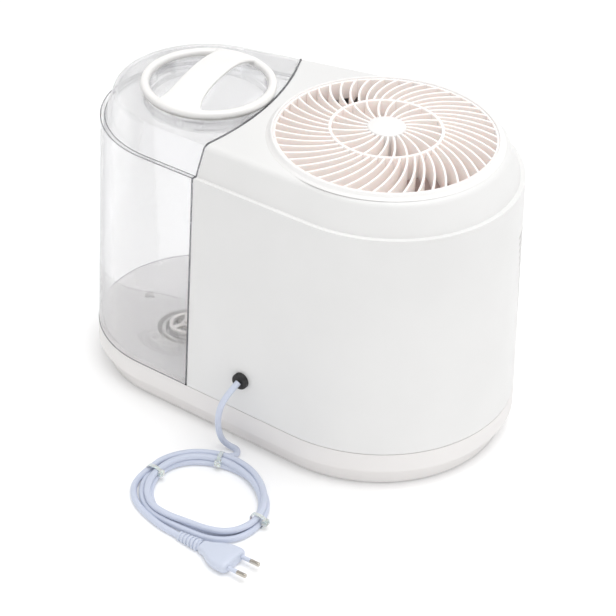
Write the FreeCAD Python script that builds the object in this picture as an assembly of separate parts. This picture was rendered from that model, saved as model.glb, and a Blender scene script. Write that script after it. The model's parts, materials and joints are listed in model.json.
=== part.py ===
"""Cool mist humidifier: a clear water tank beside a fan housing, both standing on one water tray.

Millimetres, +Z up. The origin is on the floor below the middle of the body's outline. The tank is at +X,
the fan end at -X, the controls face -Y and the mains cord leaves the rear at +Y.
"""

import FreeCAD, Part
import math
import os

V = FreeCAD.Vector
UP = V(0, 0, 1)

# ---------------------------------------------------------------- driving dimensions
# The body's outline at any height is a belt round two circles, the fan end and the tank end.
FAN_X = -73.75           # fan, grille, filter and motor axis
NOSE_X = -76.25          # centre of the outline's fan end
TANK_X = 102.75          # centre of the outline's tank end, and of the filler neck

PLINTH_Z = 1.5           # underside of the plinth, above the rubber feet
BAND_Z = 20.5            # lower edge of the overhanging band
SEAT_Z = 39.0            # top of the base, where the tank and the housing stand
LIFT_GAP = 0.6           # shadow gap between the base and what stands on it
GROOVE_Z = 259.5         # groove below the sloped shoulder
TOP_Z = 287.5            # flat top

BAND_RADII = (130.5, 102.5)      # fan end and tank end radius at BAND_Z
GROOVE_RADII = (121.8, 97.5)     # the same at the groove
SHOULDER_RADII = (117.5, 93.4)   # foot of the shoulder
TOP_RADII = (106.0, 84.5)        # rim of the flat top
PLINTH_RADII = (123.0, 95.5)     # plinth at BAND_Z
PLINTH_LOW_RADII = (121.0, 92.5)
SHOULDER_ROUND = 7.0

SEAM_RADIUS = 293.0      # the wall between tank and housing bows towards the fan
SEAM_X = 40.3            # that wall at y = 0
SEAM_CENTRE_X = SEAM_X + SEAM_RADIUS
TANK_GAP = 1.2           # gap between tank and housing

HOUSING_WALL = 2.8
TANK_WALL = 3.0
TRAY_WALL = 3.0

# Air path
GRILLE_BORE = 97.5
RIM_OUTER = 104.5
RIM_TOP = 291.5
GRILLE_LOW = 274.0
HUB_RADIUS = 17.1
MID_RING_RADIUS = 49.8
MID_RING_WIDTH = 3.0
OUTER_VANES = 48
INNER_VANES = 24
VANE_WIDTH = 3.2
DECK_Z = 216.0           # partition that carries the fan duct
DECK_THICK = 3.0
DUCT_INNER = 94.0
DUCT_WALL = 2.5
DUCT_TOP = 264.0
DUCT_SCREW_RADIUS = 101.0
FAN_LOW = 236.0
FAN_HIGH = 262.0
FAN_RADIUS = 90.0
FAN_HUB_RADIUS = 26.0
FAN_BLADES = 7
SHAFT_RADIUS = 3.0
RUNNING_GAP = 0.05
MOTOR_RADIUS = 31.0
MOTOR_LENGTH = 32.0
SPIDER_RADIUS = 34.0
FILTER_OUTER = 90.0
FILTER_INNER = 72.0
FILTER_LOW = 14.0
FILTER_HIGH = 196.0
FILTER_RING_THICK = 5.0
FILTER_RIBS = 8
FILTER_RIB_RADIUS = 1.0
LOUVRE_ROWS = 15
LOUVRE_PITCH = 8.0
LOUVRE_LOW_Z = 97.0
LOUVRE_HEIGHT = 4.0
LOUVRE_COLUMNS = 6

# Tray
BASIN_FLOOR = 6.0
SUMP_FLOOR = 12.0
SUMP_RADIUS = 28.0
DIVIDER_TOP = 115.0
DIVIDER_HALF = 85.0
FOOT_RADIUS = 9.0
FOOT_BOSS_RADIUS = 12.0  # solid post above each foot that stands under the hollow deck
FEET = [(-117, 88), (-117, -88), (-10, 98), (-10, -98), (150, 62), (150, -62)]

# Tank outlet valve, below the tank
VALVE = V(108.0, 28.0, 0)
VALVE_NECK_INNER = 17.0
VALVE_NECK_OUTER = 20.0
VALVE_NECK_DEPTH = 8.5
VALVE_CAP_LOW = 26.0
VALVE_HOLE = 6.5
STEM_RADIUS = 2.5

# Tank filler cap
NECK_INNER = 56.0
NECK_OUTER = 59.0
COLLAR_DEPTH = 11.5
CAP_OUTER = 61.4
CAP_INNER = 53.5
CAP_LOW = 289.0
CAP_HIGH = 295.5
HANDLE_TOP = 307.0
HANDLE_WIDTH = 31.0
HANDLE_THICK = 5.0
SKIRT_LOW = 272.0
WINDOW_LOW = 278.0
WINDOW_THICK = 2.5
SKIRT_OUTER = 55.5
LUG_COUNT = 3
LUG_HIGH = 3.6

# Controls, on the front wall
KNOB_X = 16.0
KNOB_Z = 232.0
KNOB_RADIUS = 15.0
LENS_X = -26.0

# Mains cord
CORD = 5.8
GLAND_X = 0.8
GLAND_Z = 73.5
GLAND_RADIUS = 7.8
GLAND_THICK = 5.0
FLOOR_CORD_Z = CORD / 2 + 0.1
COIL_CENTRE = V(-11.0, 205.0, 0)
COIL_LONG = 58.0         # half lengths of the oval that the middle of the coil follows
COIL_SHORT = 51.0
COIL_YAW = -27.0
COIL_HALF_WIDTH = 6.4
COIL_DENT = 10.0         # how far the side by the plug is pressed in
DENT_ANGLE = 118.0       # where it is deepest, round the oval from its long axis
DENT_REACH = 55.0
COIL_ROUND = 3.6
COIL_LOW = 0.2
COIL_HIGH = 12.2
TIE_ANGLES = (-52.4, 21.8, -157.1)   # round the oval, from its long axis
TIE_WIDTH = 5.0
TIE_THICK = 1.0
PLUG_X = -15.8
PLUG_Y = 260.2
PLUG_YAW = 170.5
PLUG_PITCH = 3.0
RELIEF_LENGTH = 25.0
RELIEF_RIBS = 6
RELIEF_RIB_PITCH = 3.9
PLUG_LENGTH = 37.0
PIN_LENGTH = 19.0
PIN_SPACING = 18.6


# ---------------------------------------------------------------- helpers
def export(name, shape):
    """Write one sub-part, after checking that it is sound."""
    for solid in shape.Solids:
        assert solid.isValid(), name
    assert shape.Solids, name
    shape.exportStep("parts/" + name + ".step")
    print(f"{name}: {len(shape.Solids)} solid(s), {shape.Volume / 1000:.1f} cm3")


def cylinder(x, y, low, high, radius):
    return Part.makeCylinder(radius, high - low, V(x, y, low), UP)


def ring(x, y, low, high, inner, outer):
    return cylinder(x, y, low, high, outer).cut(cylinder(x, y, low, high, inner))


def block(x0, x1, y0, y1, z0, z1):
    return Part.makeBox(x1 - x0, y1 - y0, z1 - z0, V(x0, y0, z0))


def polar(x, y, radius, degrees, z=0.0):
    angle = math.radians(degrees)
    return V(x + radius * math.cos(angle), y + radius * math.sin(angle), z)


def turned(points, x, y):
    """Solid of revolution about a vertical axis, from (radius, height) points."""
    corners = [V(x + radius, y, z) for radius, z in points]
    face = Part.Face(Part.makePolygon(corners + corners[:1]))
    return face.revolve(V(x, y, 0), UP, 360)


def belt(radii, z):
    """Closed outline round the fan end and the tank end circles."""
    nose, tank = radii
    sine = (nose - tank) / (TANK_X - NOSE_X)
    cosine = math.sqrt(1 - sine * sine)
    nose_far = V(NOSE_X + nose * sine, nose * cosine, z)
    tank_far = V(TANK_X + tank * sine, tank * cosine, z)
    tank_near = V(tank_far.x, -tank_far.y, z)
    nose_near = V(nose_far.x, -nose_far.y, z)
    edges = [
        Part.LineSegment(nose_far, tank_far).toShape(),
        Part.Arc(tank_far, V(TANK_X + tank, 0, z), tank_near).toShape(),
        Part.LineSegment(tank_near, nose_near).toShape(),
        Part.Arc(nose_near, V(NOSE_X - nose, 0, z), nose_far).toShape(),
    ]
    return Part.Wire(edges)


def belt_solid(low_radii, low, high_radii, high, inset=0.0):
    lower = belt([r - inset for r in low_radii], low)
    upper = belt([r - inset for r in high_radii], high)
    return Part.makeLoft([lower, upper], True, True)


def wall_radii(z):
    """Radii of the outer wall at a height between the band's edge and the groove."""
    share = (z - BAND_Z) / (GROOVE_Z - BAND_Z)
    return [a + (b - a) * share for a, b in zip(BAND_RADII, GROOVE_RADII)]


def wall_y(x, z):
    """Distance of the straight side wall from the middle plane, and the slope of its plan."""
    nose, tank = wall_radii(z)
    sine = (nose - tank) / (TANK_X - NOSE_X)
    cosine = math.sqrt(1 - sine * sine)
    return (nose - sine * (x - NOSE_X)) / cosine, sine


def seam_cylinder(offset, low=-10.0, high=400.0):
    """Everything on the tank's side of the seam, moved by offset towards the fan."""
    return cylinder(SEAM_CENTRE_X, 0, low, high, SEAM_RADIUS + offset)


def casing_block(low, inset=0.0):
    """Solid bounded by the wall, the groove, the shoulder and the flat top, drawn in by inset."""
    wall_top = GROOVE_Z - inset
    wall = belt_solid(wall_radii(low), low, wall_radii(wall_top), wall_top, inset)
    shoulder = belt_solid(SHOULDER_RADII, wall_top, TOP_RADII, TOP_Z - inset, inset)
    if not inset:
        rim = [e for e in shoulder.Edges if e.BoundBox.ZMin > TOP_Z - 0.1]
        shoulder = shoulder.makeFillet(SHOULDER_ROUND, rim)
    return wall.fuse(shoulder).removeSplitter()


def screw(x, y, low, high, head_radius, head_high, shank_radius):
    """A screw driven upwards: head below, shank above."""
    head = cylinder(x, y, low, low + head_high, head_radius)
    cross = block(x - 1.8, x + 1.8, y - 0.4, y + 0.4, low, low + 1.0)
    cross = cross.fuse(block(x - 0.4, x + 0.4, y - 1.8, y + 1.8, low, low + 1.0))
    shank = cylinder(x, y, low + head_high, high, shank_radius)
    return head.cut(cross).fuse(shank)


def placed(shape, origin, yaw=0.0, pitch=0.0):
    """Shape drawn along +X, raised by pitch, turned by yaw and carried to origin."""
    shape = shape.copy()
    shape.rotate(V(0, 0, 0), V(0, 1, 0), -pitch)
    shape.rotate(V(0, 0, 0), UP, yaw)
    shape.translate(origin)
    return shape


# ---------------------------------------------------------------- base
def base_tray():
    band = belt_solid(BAND_RADII, BAND_Z, wall_radii(SEAT_Z), SEAT_Z)
    plinth = belt_solid(PLINTH_LOW_RADII, PLINTH_Z, PLINTH_RADII, BAND_Z)
    outer = plinth.fuse(band)
    low_basin = belt_solid(PLINTH_LOW_RADII, BASIN_FLOOR, PLINTH_RADII, BAND_Z + TRAY_WALL, TRAY_WALL)
    high_basin = belt_solid(BAND_RADII, BAND_Z + TRAY_WALL, wall_radii(SEAT_Z), SEAT_Z, TRAY_WALL)
    basin = low_basin.fuse(high_basin).cut(seam_cylinder(8.0))
    sump = cylinder(VALVE.x, VALVE.y, SUMP_FLOOR, SEAT_Z, SUMP_RADIUS)
    post = cylinder(VALVE.x, VALVE.y, SUMP_FLOOR, SUMP_FLOOR + 7.5, 4.0)
    channel = block(10.0, VALVE.x, VALVE.y - 8, VALVE.y + 8, SUMP_FLOOR, 28.0)
    under = belt_solid(PLINTH_LOW_RADII, -1.0, PLINTH_LOW_RADII, SEAT_Z - TRAY_WALL, TRAY_WALL)
    under = under.common(seam_cylinder(-TRAY_WALL))
    sump_wall = cylinder(VALVE.x, VALVE.y, SUMP_FLOOR - TRAY_WALL, SEAT_Z, SUMP_RADIUS + TRAY_WALL)
    channel_wall = block(0, VALVE.x, VALVE.y - 11, VALVE.y + 11, SUMP_FLOOR - TRAY_WALL, SEAT_Z)
    bosses = [cylinder(x, y, -1.0, SEAT_Z, FOOT_BOSS_RADIUS) for x, y in FEET]
    under = under.cut(sump_wall.fuse([channel_wall] + bosses))
    tray = outer.cut(basin).cut(sump.cut(post)).cut(channel).cut(under)
    pads = [cylinder(x, y, SEAT_Z, SEAT_Z + LIFT_GAP, radius) for x, y, radius in rest_points()]
    return tray.fuse(pads).removeSplitter()


def tray_divider():
    """Upright wall on the tray, between the tank and the filter chamber."""
    band = seam_cylinder(2.6, SEAT_Z, DIVIDER_TOP).cut(seam_cylinder(0.2))
    return band.common(block(0, 80, -DIVIDER_HALF, DIVIDER_HALF, 0, DIVIDER_TOP))


def rest_points():
    """Small pads on the base that carry the housing's edge and the tank's floor."""
    nose, _ = wall_radii(SEAT_Z)
    points = [polar(NOSE_X, 0, nose - 1.5, degrees) for degrees in (120, 180, 240)]
    result = [(p.x, p.y, 1.2) for p in points]
    side, _ = wall_y(30.0, SEAT_Z)
    result += [(30.0, side - 1.6, 1.2), (30.0, 1.6 - side, 1.2)]
    result += [(70.0, -50.0, 5.0), (70.0, 62.0, 5.0), (165.0, 0.0, 5.0)]
    return result


def feet():
    pads = []
    for x, y in FEET:
        pad = cylinder(x, y, 0, PLINTH_Z, FOOT_RADIUS)
        pads.append(pad.makeFillet(0.8, [e for e in pad.Edges if e.BoundBox.ZMax < 0.1]))
    return Part.makeCompound(pads)


def filter_end(low, high):
    """End ring of the filter's frame."""
    return ring(FAN_X, 0, low, high, FILTER_INNER - 2, FILTER_OUTER + 2)


def filter_ring_low():
    return filter_end(BASIN_FLOOR, FILTER_LOW)


def filter_ring_high():
    return filter_end(FILTER_HIGH, FILTER_HIGH + FILTER_RING_THICK)


def filter_ribs():
    """Upright rods inside the wick, from one end ring to the other."""
    rods = []
    for index in range(FILTER_RIBS):
        at = polar(FAN_X, 0, FILTER_INNER - FILTER_RIB_RADIUS, 360 / FILTER_RIBS * index)
        rods.append(cylinder(at.x, at.y, FILTER_LOW, FILTER_HIGH, FILTER_RIB_RADIUS))
    return Part.makeCompound(rods)


def wick_filter():
    return ring(FAN_X, 0, FILTER_LOW, FILTER_HIGH, FILTER_INNER, FILTER_OUTER)


# ---------------------------------------------------------------- housing
def louvre_slots():
    """Air intake: rows of narrow slots in the front wall, between upright ribs."""
    slots = []
    for row in range(LOUVRE_ROWS):
        z = LOUVRE_LOW_Z + LOUVRE_PITCH * row
        for column in range(LOUVRE_COLUMNS):
            x = -198.0 + 29.0 * column
            slots.append(block(x, x + 25, -140, -18, z, z + LOUVRE_HEIGHT))
    shield = cylinder(FAN_X, 0, 0, 300, FILTER_OUTER + 5)
    return [slot.cut(shield) for slot in slots]


def wall_point(x, z, side):
    """Point on the outer side wall and its outward direction; side is 1 at the rear, -1 in front."""
    y, sine = wall_y(x, z)
    return V(x, side * y, z), V(sine, side * math.sqrt(1 - sine * sine), 0)


def wall_hole(x, z, side, radius):
    point, out = wall_point(x, z, side)
    return Part.makeCylinder(radius, 12, point - out * 8, out)


def duct_screw_points():
    return [polar(FAN_X, 0, DUCT_SCREW_RADIUS, degrees) for degrees in (40, 140, 220, 320)]


def main_housing():
    low = SEAT_Z + LIFT_GAP
    outer = casing_block(low).cut(seam_cylinder(0))
    hollow = casing_block(low - 5, HOUSING_WALL).cut(seam_cylinder(HOUSING_WALL))
    shell = outer.cut(hollow)
    shell = shell.cut(cylinder(FAN_X, 0, 200, TOP_Z + 5, GRILLE_BORE + 0.3))
    doorway = block(20, 80, -DIVIDER_HALF - 1, DIVIDER_HALF + 1, low - 5, DIVIDER_TOP + 1.5)
    shell = shell.cut(doorway)
    shell = shell.cut(Part.makeCompound(louvre_slots()))
    shell = shell.cut(wall_hole(GLAND_X, GLAND_Z, 1, 5.5))
    shell = shell.cut(wall_hole(KNOB_X, KNOB_Z, -1, 4.5))
    shell = shell.cut(wall_hole(LENS_X, KNOB_Z, -1, 4.0))
    for point in duct_screw_points():
        boss = cylinder(point.x, point.y, DUCT_TOP, TOP_Z - 1, 4.0)
        pilot = cylinder(point.x, point.y, DUCT_TOP, DUCT_TOP + 12, 1.5)
        shell = shell.fuse(boss.cut(cylinder(FAN_X, 0, 200, 300, GRILLE_BORE + 0.3))).cut(pilot)
    return shell.removeSplitter()


def grille_gap(inner, outer, count, index):
    """One opening between two swept vanes, as a flat face at z = 0."""
    pitch = 360.0 / count

    def sweep(radius):
        return -34.0 * (radius / GRILLE_BORE - 0.17) / 0.83

    def corner(radius, side):
        half = math.degrees(VANE_WIDTH / 2 / radius)
        centre = pitch * index + pitch / 2 + sweep(radius)
        return polar(0, 0, radius, centre + side * (pitch / 2 - half))

    def side_arc(side):
        middle = (inner + outer) / 2
        return Part.Arc(corner(inner, side), corner(middle, side), corner(outer, side)).toShape()

    def end_arc(radius):
        centre = polar(0, 0, radius, pitch * index + pitch / 2 + sweep(radius))
        return Part.Arc(corner(radius, -1), centre, corner(radius, 1)).toShape()

    wire = Part.Wire(Part.__sortEdges__([side_arc(-1), end_arc(outer), side_arc(1), end_arc(inner)]))
    return Part.Face(wire)


def fan_grille():
    plate = cylinder(0, 0, 0, RIM_TOP - 1.5 - GRILLE_LOW, GRILLE_BORE)
    gaps = [grille_gap(MID_RING_RADIUS + MID_RING_WIDTH, GRILLE_BORE - 2.5, OUTER_VANES, i)
            for i in range(OUTER_VANES)]
    gaps += [grille_gap(HUB_RADIUS + 1.5, MID_RING_RADIUS, INNER_VANES, i) for i in range(INNER_VANES)]
    cuts = Part.makeCompound([face.extrude(V(0, 0, 40)) for face in gaps])
    grille = plate.cut(cuts)
    grille.translate(V(FAN_X, 0, GRILLE_LOW))
    return grille


def grille_rim():
    profile = [(GRILLE_BORE, TOP_Z - 6), (GRILLE_BORE + 0.3, TOP_Z - 6), (GRILLE_BORE + 0.3, TOP_Z),
               (RIM_OUTER, TOP_Z), (RIM_OUTER, RIM_TOP - 1.6), (RIM_OUTER - 1.6, RIM_TOP),
               (GRILLE_BORE + 1.2, RIM_TOP), (GRILLE_BORE, RIM_TOP - 1.2)]
    return turned(profile, FAN_X, 0)


def grille_hub_cap():
    low = RIM_TOP - 1.5
    profile = [(0, low), (HUB_RADIUS, low), (HUB_RADIUS, low + 2.5), (HUB_RADIUS - 2, low + 4.5),
               (HUB_RADIUS * 0.5, low + 6), (0, low + 6.5)]
    return turned(profile, FAN_X, 0)


def fan_duct():
    """Partition across the housing, with the round duct and the motor's spider in one moulding."""
    inset = HOUSING_WALL + 0.4
    deck_top = DECK_Z + DECK_THICK
    plate = belt_solid(wall_radii(DECK_Z), DECK_Z, wall_radii(deck_top), deck_top, inset)
    plate = plate.cut(seam_cylinder(inset)).cut(cylinder(FAN_X, 0, 0, 300, DUCT_INNER))
    duct = ring(FAN_X, 0, DECK_Z, DUCT_TOP, DUCT_INNER, DUCT_INNER + DUCT_WALL)
    ears = []
    for point in duct_screw_points():
        ear = cylinder(point.x, point.y, DUCT_TOP - 4, DUCT_TOP, 5.0)
        ears.append(ear.cut(cylinder(point.x, point.y, 200, 300, 1.8)))
    keep_out = cylinder(FAN_X, 0, 0, 300, DUCT_INNER + 0.5)
    ears = [ear.cut(keep_out) for ear in ears]
    hub = cylinder(FAN_X, 0, DECK_Z + DECK_THICK, DECK_Z + DECK_THICK + 4, SPIDER_RADIUS)
    arms = []
    for degrees in (20, 110, 200, 290):
        arm = block(SPIDER_RADIUS - 2, DUCT_INNER + 1, -5, 5, 0, 4)
        arms.append(placed(arm, V(FAN_X, 0, DECK_Z + DECK_THICK), degrees))
    part = plate.fuse([duct, hub] + ears + arms)
    part = part.cut(cylinder(FAN_X, 0, 200, DUCT_TOP, 9.0))
    for point in motor_screw_points():
        part = part.cut(cylinder(point.x, point.y, 200, 240, 1.8))
    point, out = wall_point(GLAND_X, DECK_Z, 1)
    notch = point - out * 15
    return part.cut(cylinder(notch.x, notch.y, 200, 240, 4.5)).removeSplitter()


def duct_screws():
    return Part.makeCompound([
        screw(p.x, p.y, DUCT_TOP - 4 - 2.4, DUCT_TOP + 11, 3.2, 2.4, 1.5) for p in duct_screw_points()])


def motor_screw_points():
    return [polar(FAN_X, 0, 22.0, degrees) for degrees in (65, 185, 305)]


def fan_motor():
    top = DECK_Z + DECK_THICK
    low = top - MOTOR_LENGTH
    can = cylinder(FAN_X, 0, low, top, MOTOR_RADIUS)
    can = can.makeFillet(3.0, [e for e in can.Edges if e.BoundBox.ZMax < low + 0.1])
    collar = cylinder(FAN_X, 0, top, top + 6, 8.0)
    boss = cylinder(FAN_X, 0, low - 4, low, 10.0)
    motor = can.fuse([collar, boss])
    motor = motor.cut(cylinder(FAN_X, 0, low, top + 10, SHAFT_RADIUS + RUNNING_GAP))
    for point in motor_screw_points():
        motor = motor.cut(cylinder(point.x, point.y, top - 8, top, 1.5))
    return motor


def motor_screws():
    top = DECK_Z + DECK_THICK + 4
    screws = []
    for point in motor_screw_points():
        shape = screw(0, 0, 0, 13.5, 3.2, 2.4, 1.5)
        shape.rotate(V(0, 0, 0), V(1, 0, 0), 180)
        shape.translate(V(point.x, point.y, top + 2.4))
        screws.append(shape)
    return Part.makeCompound(screws)


def motor_shaft():
    low = DECK_Z + DECK_THICK - MOTOR_LENGTH + 1
    return cylinder(FAN_X, 0, low, FAN_HIGH + 5, SHAFT_RADIUS)


def fan_blade():
    """One twisted blade, drawn along +X, wider and flatter at its tip."""
    middle = (FAN_LOW + FAN_HIGH) / 2

    def section(radius, chord, pitch, thick):
        c, s = math.cos(math.radians(pitch)), math.sin(math.radians(pitch))
        corners = []
        for along, across in ((-1, -1), (1, -1), (1, 1), (-1, 1)):
            a, t = along * chord / 2, across * thick / 2
            corners.append(V(radius, a * c - t * s, middle + a * s + t * c))
        return Part.makePolygon(corners + corners[:1])

    root = section(FAN_HUB_RADIUS - 1.5, 30, 46, 2.4)
    tip = section(FAN_RADIUS + 4.0, 58, 22, 1.8)
    return Part.makeLoft([root, tip], True, True)


def fan_rotor():
    cup = cylinder(FAN_X, 0, FAN_LOW, FAN_HIGH, FAN_HUB_RADIUS)
    cup = cup.makeFillet(3.0, [e for e in cup.Edges if e.BoundBox.ZMin > FAN_HIGH - 0.1])
    cup = cup.cut(cylinder(FAN_X, 0, FAN_LOW, FAN_HIGH - 3, FAN_HUB_RADIUS - 2))
    boss = cylinder(FAN_X, 0, FAN_LOW + 4, FAN_HIGH, 8.0)
    blade = fan_blade()
    blades = [placed(blade, V(FAN_X, 0, 0), 360.0 * index / FAN_BLADES) for index in range(FAN_BLADES)]
    sweep = ring(FAN_X, 0, FAN_LOW, FAN_HIGH, FAN_HUB_RADIUS - 1.2, FAN_RADIUS)
    blades = [blade.common(sweep) for blade in blades]
    rotor = cup.fuse([boss] + blades)
    return rotor.cut(cylinder(FAN_X, 0, 200, 300, SHAFT_RADIUS))


def rotor_nut():
    points = [polar(FAN_X, 0, 5.2, 60 * index, FAN_HIGH) for index in range(6)]
    nut = Part.Face(Part.makePolygon(points + points[:1])).extrude(V(0, 0, 4))
    return nut.cut(cylinder(FAN_X, 0, 200, 300, SHAFT_RADIUS))


# ---------------------------------------------------------------- controls and wiring
def on_wall(shape, x, z, side, outside):
    """Shape drawn along +X from a wall, put on the outside or the inside face."""
    point, out = wall_point(x, z, side)
    origin = point if outside else point - out * HOUSING_WALL
    yaw = math.degrees(math.atan2(out.y, out.x))
    return placed(shape, origin, yaw if outside else yaw + 180)


def disc(start, length, radius):
    return Part.makeCylinder(radius, length, V(start, 0, 0), V(1, 0, 0))


def control_bezel():
    plate = disc(-1.5, 3.5, 22.0)
    for degrees in (-135, -90, -45, 0):
        tick = Part.makeBox(2.0, 1.2, 3.0, V(1.4, -0.6, 17.2))
        tick.rotate(V(0, 0, 0), V(1, 0, 0), degrees)
        plate = plate.cut(tick)
    bezel = on_wall(plate.cut(disc(-3, 10, 4.5)), KNOB_X, KNOB_Z, -1, True)
    return bezel.cut(casing_block(SEAT_Z))


def speed_knob():
    body = disc(2.4, 12.0, KNOB_RADIUS)
    body = body.makeFillet(1.5, [e for e in body.Edges if e.BoundBox.XMin > 14.0])
    for degrees in range(0, 360, 20):
        flute = Part.makeCylinder(1.3, 9, V(4.5, 0, KNOB_RADIUS + 0.5), V(1, 0, 0))
        flute.rotate(V(0, 0, 0), V(1, 0, 0), degrees)
        body = body.cut(flute)
    pointer = Part.makeBox(1.0, 1.4, 8.0, V(13.6, -0.7, 5.5))
    pointer.rotate(V(0, 0, 0), V(1, 0, 0), -135)
    body = body.cut(pointer).cut(disc(0, 11.0, SHAFT_RADIUS))
    return on_wall(body, KNOB_X, KNOB_Z, -1, True)


def switch_shaft():
    return on_wall(disc(-12.0, 23.0, SHAFT_RADIUS), KNOB_X, KNOB_Z, -1, True)


def rotary_switch():
    body = Part.makeBox(18, 24, 22, V(0.3, -12, -11.5))
    body = body.cut(disc(-1, 12.5, SHAFT_RADIUS + RUNNING_GAP))
    terminals = [Part.makeBox(6, 4, 0.8, V(18.3, y, 0)) for y in (-9, -2, 5)]
    return on_wall(body.fuse(terminals), KNOB_X, KNOB_Z, -1, False)


def refill_lens():
    lens = disc(-HOUSING_WALL - 2, HOUSING_WALL + 3.2, 3.9)
    lens = lens.makeFillet(0.8, [e for e in lens.Edges if e.BoundBox.XMin > 1.0])
    return on_wall(lens, LENS_X, KNOB_Z, -1, True)


def lamp_holder():
    body = Part.makeBox(14, 12, 12, V(2.1, -6, -6))
    return on_wall(body, LENS_X, KNOB_Z, -1, False)


def cord_gland():
    """Black grommet: a flange outside, a neck through the wall and a flange inside."""
    flange = disc(0, GLAND_THICK, GLAND_RADIUS)
    flange = flange.makeFillet(1.8, [e for e in flange.Edges if e.BoundBox.XMin > GLAND_THICK - 0.1])
    neck = disc(-HOUSING_WALL - 0.6, HOUSING_WALL + 0.6, 5.4)
    inner = disc(-HOUSING_WALL - 3.2, 2.6, GLAND_RADIUS)
    gland = on_wall(flange.fuse([neck, inner]), GLAND_X, GLAND_Z, 1, True)
    inside = casing_block(SEAT_Z - 5, HOUSING_WALL)
    wall = casing_block(SEAT_Z).cut(inside).cut(wall_hole(GLAND_X, GLAND_Z, 1, 5.4))
    return gland.cut(wall)


def inner_lead():
    """Cord inside the housing, from the gland up through the partition to the terminals."""
    point, out = wall_point(GLAND_X, GLAND_Z, 1)
    start = point - out * (HOUSING_WALL + 3.2)
    corner = point - out * 15
    top_point, top_out = wall_point(GLAND_X, DECK_Z, 1)
    top = top_point - top_out * 15
    points = [start, corner, V(top.x, top.y, DECK_Z + DECK_THICK + 2)]
    return route_tube(points, 2.6, "inner lead")


def terminal_block():
    point, out = wall_point(GLAND_X, DECK_Z, 1)
    centre = point - out * 15
    low = DECK_Z + DECK_THICK
    body = block(centre.x - 14, centre.x + 14, centre.y - 8, centre.y + 8, low, low + 13)
    for index in range(3):
        x = centre.x - 9 + 9 * index
        body = body.cut(cylinder(x, centre.y - 4, low + 7, low + 13, 1.8))
    return body.cut(cylinder(centre.x, centre.y, low, low + 6, 4.5))


# ---------------------------------------------------------------- tank
def tank_shell():
    low = SEAT_Z + LIFT_GAP
    outer = casing_block(low).common(seam_cylinder(-TANK_GAP))
    hollow = casing_block(low + TANK_WALL, TANK_WALL).common(seam_cylinder(-TANK_GAP - TANK_WALL))
    shell = outer.cut(hollow)
    collar = ring(TANK_X, 0, TOP_Z - COLLAR_DEPTH, TOP_Z, NECK_INNER, NECK_OUTER)
    shell = shell.fuse(collar.common(casing_block(low))).cut(cylinder(TANK_X, 0, 270, 300, NECK_INNER))
    for index in range(LUG_COUNT):
        notch = block(NECK_INNER - 2, NECK_OUTER - 0.6, -9, 9, 270, TOP_Z - 5)
        shell = shell.cut(placed(notch, V(TANK_X, 0, 0), 105 + 120 * index))
    neck = ring(VALVE.x, VALVE.y, low - VALVE_NECK_DEPTH, low + TANK_WALL, VALVE_NECK_INNER, VALVE_NECK_OUTER)
    shell = shell.fuse(neck).cut(cylinder(VALVE.x, VALVE.y, 20, low + 10, VALVE_NECK_INNER))
    stop = block(-4.5, 4.5, -2, 2, 0, 1.4)
    stop = stop.makeFillet(1.2, [e for e in stop.Edges if e.BoundBox.ZLength > 1])
    shell = shell.fuse(placed(stop, V(71.5, 74.0, TOP_Z - 0.2), 20))
    return shell.removeSplitter()


def valve_cap():
    """Screw cap under the tank, with the cage that guides the plunger."""
    neck_low = SEAT_Z + LIFT_GAP - VALVE_NECK_DEPTH
    cap = ring(VALVE.x, VALVE.y, VALVE_CAP_LOW, SEAT_Z - 0.8, VALVE_NECK_OUTER + 0.3, VALVE_NECK_OUTER + 3.3)
    plate = cylinder(VALVE.x, VALVE.y, VALVE_CAP_LOW, VALVE_CAP_LOW + 2.5, VALVE_NECK_OUTER + 3.3)
    cage = ring(VALVE.x, VALVE.y, VALVE_CAP_LOW, 44.0, 13.5, 16.5)
    for degrees in (0, 120, 240):
        window = block(10, 18, -8, 8, neck_low, 40.5)
        cage = cage.cut(placed(window, VALVE, degrees))
    bush = cylinder(VALVE.x, VALVE.y, 41.0, 44.0, 5.0)
    arms = [placed(block(3, 14, -2, 2, 41.0, 44.0), VALVE, degrees) for degrees in (60, 180, 300)]
    body = cap.fuse([plate, cage, bush] + arms)
    for degrees in range(0, 360, 18):
        at = polar(VALVE.x, VALVE.y, VALVE_NECK_OUTER + 3.9, degrees)
        body = body.cut(cylinder(at.x, at.y, VALVE_CAP_LOW, SEAT_Z - 2, 1.0))
    body = body.cut(cylinder(VALVE.x, VALVE.y, 40, 50, STEM_RADIUS + 0.06))
    return body.cut(cylinder(VALVE.x, VALVE.y, 20, 30, VALVE_HOLE))


def valve_cap_seal():
    high = SEAT_Z + LIFT_GAP - VALVE_NECK_DEPTH
    return ring(VALVE.x, VALVE.y, VALVE_CAP_LOW + 2.5, high, VALVE_NECK_INNER, VALVE_NECK_OUTER)


def valve_plunger():
    seat = VALVE_CAP_LOW + 2.5
    disc_part = cylinder(VALVE.x, VALVE.y, seat + 1.2, seat + 3.2, 9.5)
    stem = cylinder(VALVE.x, VALVE.y, 20.0, 47.0, STEM_RADIUS)
    tip = cylinder(VALVE.x, VALVE.y, 20.0, 22.0, 3.5)
    return disc_part.fuse([stem, tip])


def plunger_seal():
    seat = VALVE_CAP_LOW + 2.5
    return ring(VALVE.x, VALVE.y, seat, seat + 1.2, STEM_RADIUS, 9.5)


def valve_spring():
    low = VALVE_CAP_LOW + 2.5 + 3.2 + 0.5
    high = 41.0 - 0.5
    helix = Part.makeHelix(1.9, high - low, 5.5)
    profile = Part.Wire(Part.makeCircle(0.5, V(5.5, 0, 0), V(0, 1, 0)))
    spring = Part.Wire(helix.Edges).makePipeShell([profile], True, True)
    spring.translate(V(VALVE.x, VALVE.y, low))
    return spring


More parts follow.
